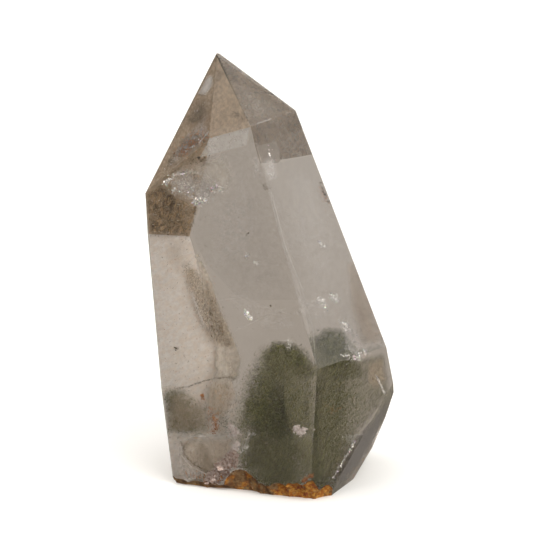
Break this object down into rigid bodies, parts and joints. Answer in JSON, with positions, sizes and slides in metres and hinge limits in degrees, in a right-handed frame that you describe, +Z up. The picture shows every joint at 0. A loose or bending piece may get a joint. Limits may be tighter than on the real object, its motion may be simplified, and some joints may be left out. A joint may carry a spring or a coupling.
{
  "type": "chlorite quartz crystal",
  "caption": "Clear smoky quartz point with leaning flats and a slanted peak, standing on its broken foot, with a green chlorite phantom grown inside its lower part.",
  "frame": {"origin": "on the ground under the middle of the bounding box", "axes": "+Z up towards the peak, -Y the broad front flat's side, +X the right side as pictured"},
  "size_m": [0.0522, 0.0416, 0.0899],
  "materials": {
    "smoky_clear_quartz": "clear, faintly smoky stone with polished flats and a rough broken foot",
    "green_chlorite": "dull dusty mineral grains"
  },
  "bodies": {
    "root": {"quartz_crystal": "smoky_clear_quartz", "chlorite_phantom": "green_chlorite"}
  },
  "joints": []
}
